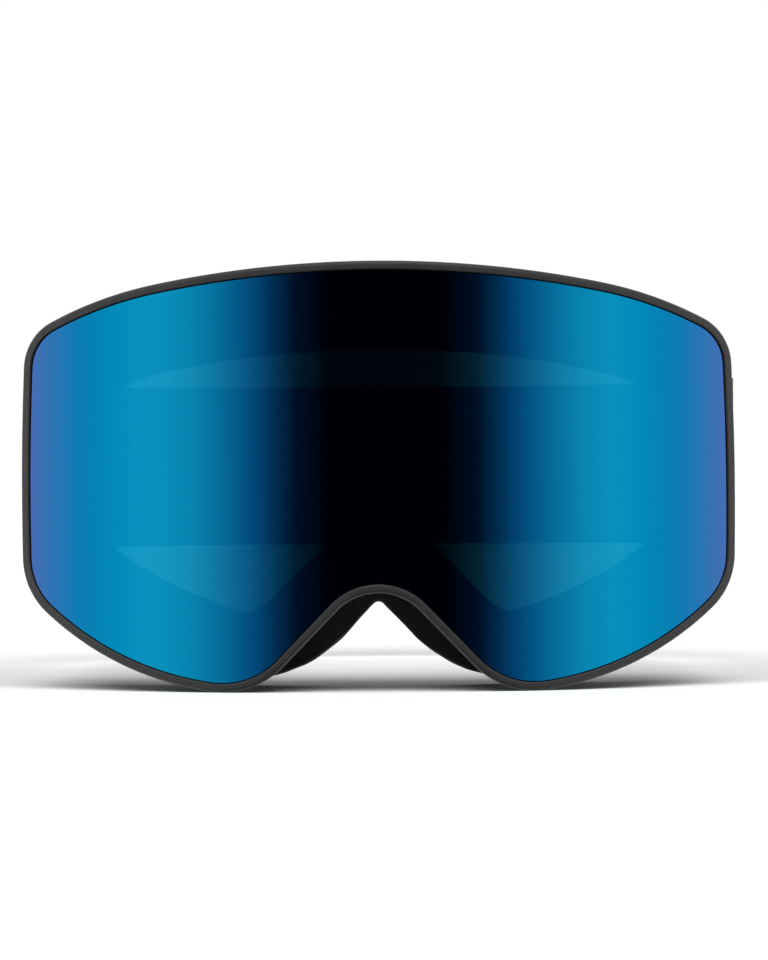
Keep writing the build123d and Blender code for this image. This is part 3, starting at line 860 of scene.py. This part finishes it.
def web(name, stations, side, material, seed):
    """A woven strap swept along a line seen from above, with its length and width as its UV map."""
    section = web_section(STRAP_WIDTH, STRAP_THICKNESS)
    vertices = []
    for point, heading, length in stations:
        out = 1j * heading * side
        for offset, up in section:
            lift = 0.12 * noise.noise(Vector((length / 18.0, up / 14.0, seed)))
            spot = point + out * (offset + lift)
            vertices.append(Vector((spot.real, spot.imag, STRAP_Z + up)) * MM)
    rows = len(stations)
    columns = len(section)
    faces = grid_faces(rows, columns, False, True)
    faces.append(tuple(range(columns)))
    faces.append(tuple(range((rows - 1) * columns, rows * columns)))
    made = piece(name, vertices, faces, material, 60.0)
    layer = made.data.uv_layers.new(name="weave")
    for loop in made.data.loops:
        row, column = divmod(loop.vertex_index, columns)
        layer.data[loop.index].uv = (stations[row][2] * MM, (section[column][1] + STRAP_WIDTH / 2) * MM)
    return made


def run_point(line_stations, along, inward, side):
    """A point beside the side run: so far back from the fold, and so far towards the head, in metres."""
    start, heading = side_run_start(line_stations)
    spot = start - heading * along - 1j * heading * side * inward
    return Vector((spot.real, spot.imag, STRAP_Z)) * MM


def side_run_start(line_stations):
    """Where the side run meets the fold, and the heading there."""
    run = STRAP_BACK[0] * radians(STRAP_BACK[1]) + STRAP_CORNER[0] * radians(STRAP_CORNER[1]) + STRAP_SIDE_RUN
    nearest = min(line_stations, key=lambda station: abs(station[2] - run))
    return nearest[0], nearest[1]


def tail_line(line_stations, side):
    """The strap's end: back along the inside, round the slider's bar and flat onto itself."""
    start, heading = side_run_start(line_stations)
    out = 1j * heading * side
    back = -heading
    first = start - out * 2 * WRAP_RADIUS + back * ANCHOR_RUN
    stations = []
    straight = SLIDER_AT - ANCHOR_RUN
    count = ceil(straight / STRAP_STEP) * 2
    for i in range(count + 1):
        stations.append((first + back * straight * i / count, back, straight * i / count))
    centre = stations[-1][0] + out * TAIL_LOOP_RADIUS
    length = straight
    for i in range(1, FOLD_STEPS + 1):
        turn = pi * i / FOLD_STEPS
        spot = centre - out * TAIL_LOOP_RADIUS * cos(turn) + back * TAIL_LOOP_RADIUS * sin(turn)
        stations.append((spot, back * cos(turn) + out * sin(turn), length + TAIL_LOOP_RADIUS * turn))
    length = stations[-1][2]
    top = stations[-1][0]
    drop = 2 * TAIL_LOOP_RADIUS - STRAP_THICKNESS - 0.05
    for i in range(1, 9):
        share = i / 8
        ease = min(1.0, share * 1.6)
        ease = ease * ease * (3 - 2 * ease)
        spot = top - back * TAIL_FLAP * share - out * drop * ease
        slope = -back - out * (0.6 if share < 0.6 else 0.0)
        stations.append((spot, slope / abs(slope), length + TAIL_FLAP * share * 1.15))
    return stations


def straps():
    """Both half straps, their sewn ends, and the silicone lines inside the back."""
    for side, name in ((1, "right"), (-1, "left")):
        stations = strap_line(side)
        made = web(f"strap_{name}", stations, side, WEB, side)
        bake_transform(made)
        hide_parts(f"strap_anchor_{name}", "strap_back")
        tail_stations = tail_line(stations, side)
        tail = web(f"strap_end_{name}", tail_stations, -side, WEB, side + 5)
        slider = f"slider_{name}"
        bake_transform(tail)
        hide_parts(f"strap_tail_{name}")
        stitches(f"stitches_{name}", stations, side, slider)
    grip_lines()


STITCH_COUNT = 17
STITCH_SPAN = 39.0
STITCH_FIRST_ROW = 3.2
STITCH_ROW_GAP = 2.4
STITCH_LENGTH = 1.8
STITCH_PROUD = 0.03
THREAD_RADIUS = 0.22


def stitches(name, line_stations, side, body):
    """Two rows of thread through the folded end of the strap, seen on its head side."""
    parts = []
    inward = 2 * WRAP_RADIUS + STRAP_THICKNESS / 2 + STITCH_PROUD
    for row in (0, 1):
        middle = run_point(line_stations, SLIDER_AT - STITCH_FIRST_ROW - STITCH_ROW_GAP * row, inward, side)
        for i in range(STITCH_COUNT):
            up = STITCH_SPAN * (i / (STITCH_COUNT - 1) - 0.5)
            spot = middle + Vector((0, 0, up * MM))
            parts.append(capsule(spot, Vector((0, 0, 1)), STITCH_LENGTH * MM, THREAD_RADIUS * MM))
    vertices, faces = join(parts)
    made = piece(name, vertices, faces, THREAD, 80.0)
    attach(made, body)


def capsule(middle, along, length, radius):
    """Vertices and faces of one stitch: a short thread that dips in at both ends."""
    across = along.orthogonal().normalized()
    other = along.cross(across)
    vertices = []
    rings, around = 7, 8
    for i in range(rings):
        share = i / (rings - 1)
        wide = radius * sqrt(max(0.05, 1 - (2 * share - 1) ** 2))
        for j in range(around):
            turn = 2 * pi * j / around
            spoke = across * cos(turn) + other * sin(turn)
            vertices.append(middle + along * (share - 0.5) * length + spoke * wide)
    faces = grid_faces(rings, around, False, True)
    faces.append(tuple(range(around)))
    faces.append(tuple(range((rings - 1) * around, rings * around)))
    return vertices, faces


def grip_lines():
    """Three wavy silicone beads printed on the inside of the strap's back."""
    middle_of_back = complex(0.0, STRAP_BACK_Y)
    steps = [STRAP_BACK, (STRAP_CORNER[0], GRIP_CORNER_TURN)]
    right = plan_line(middle_of_back, 1 + 0j, steps, 1)
    left = plan_line(middle_of_back, 1 + 0j, steps, -1)
    whole = [(p, 1j * h, -length) for p, h, length in reversed(right[1:])]
    whole += [(p, -1j * h, length) for p, h, length in left]
    parts = []
    profile = [(0.0, -1.0)] + [(sin(pi * i / 8), -cos(pi * i / 8)) for i in range(1, 8)] + [(0.0, 1.0)]
    for row in (-1, 0, 1):
        vertices = []
        last = len(whole) - 1
        for index, (point, out, length) in enumerate(whole):
            fade = min(1.0, min(index, last - index) / 2 + 0.15)
            middle = STRAP_Z + row * GRIP_SPACING + 0.9 * sin(length / 2.6 + row)
            for depth, up in profile:
                spot = point - out * (STRAP_THICKNESS / 2 - 0.08 + 0.55 * fade * depth)
                vertices.append(Vector((spot.real, spot.imag, middle + 1.0 * fade * up)) * MM)
        columns = len(profile)
        faces = grid_faces(len(whole), columns, False, True)
        faces.append(tuple(range(columns)))
        faces.append(tuple(range(last * columns, (last + 1) * columns)))
        parts.append((vertices, faces))
    vertices, faces = join(parts)
    made = piece("silicone_grip", vertices, faces, silicone(), 70.0)
    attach(made, "frame")
    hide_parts("strap_grip")


# ---------------------------------------------------------------- carried-over CAD nodes

def finish_node(name, material, bevel=0.0):
    """Gives a CAD node its material, and soft edges where it has none."""
    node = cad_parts[name]
    node.data.materials.clear()
    node.data.materials.append(material)
    if bevel:
        weld = node.modifiers.new("weld", "WELD")
        weld.merge_threshold = 0.005 * MM
        soft = node.modifiers.new("soft_edges", "BEVEL")
        soft.width = bevel * MM
        soft.segments = 2
        soft.limit_method = "ANGLE"
        soft.angle_limit = radians(35.0)
        soft.harden_normals = False


def carried_over():
    """Materials and soft edges for the CAD nodes that stay as they are."""
    rim = plastic("rim_soft_touch", 0.0138, 0.5)
    body = plastic("frame_rubber", 0.014, 0.62, 0.5, 0.02)
    arm = plastic("outrigger_nylon", 0.018, 0.5)
    steel = metal("blackened_steel", (0.16, 0.16, 0.17), 0.32)
    nickel = metal("nickel_plate", (0.62, 0.60, 0.57), 0.22)
    finish_node("front_rim", rim)
    finish_node("chassis", body)
    finish_node("lens_carrier", plastic("carrier_plastic", 0.012, 0.45))
    finish_node("inner_lens", clear_plastic())
    finish_node("lens_magnets", nickel)
    finish_node("frame_magnets", nickel)
    for side in ("left", "right"):
        finish_node(f"outrigger_{side}", arm, 0.35)
        finish_node(f"slider_{side}", arm, 0.3)
        finish_node(f"hinge_pin_{side}", steel, 0.15)


camera()
stage_and_light()
reflection_ring()

MIRROR = lens_mirror()
LENS_BACK = lens_back_material()
LENS_EDGE = plastic("lens_edge", 0.006, 0.2)
WEB = woven("woven_elastic", 0.022, (0.02, 0.075, 0.12))
THREAD = thread()

lens()
foams()
vent = foam("filter_foam", 0.02, 0.8, 0.3)
vent_foam("top_filter", "top_vent_foam", vent)
vent_foam("bottom_filter_left", "bottom_vent_foam_left", vent)
vent_foam("bottom_filter_right", "bottom_vent_foam_right", vent)
straps()
carried_over()
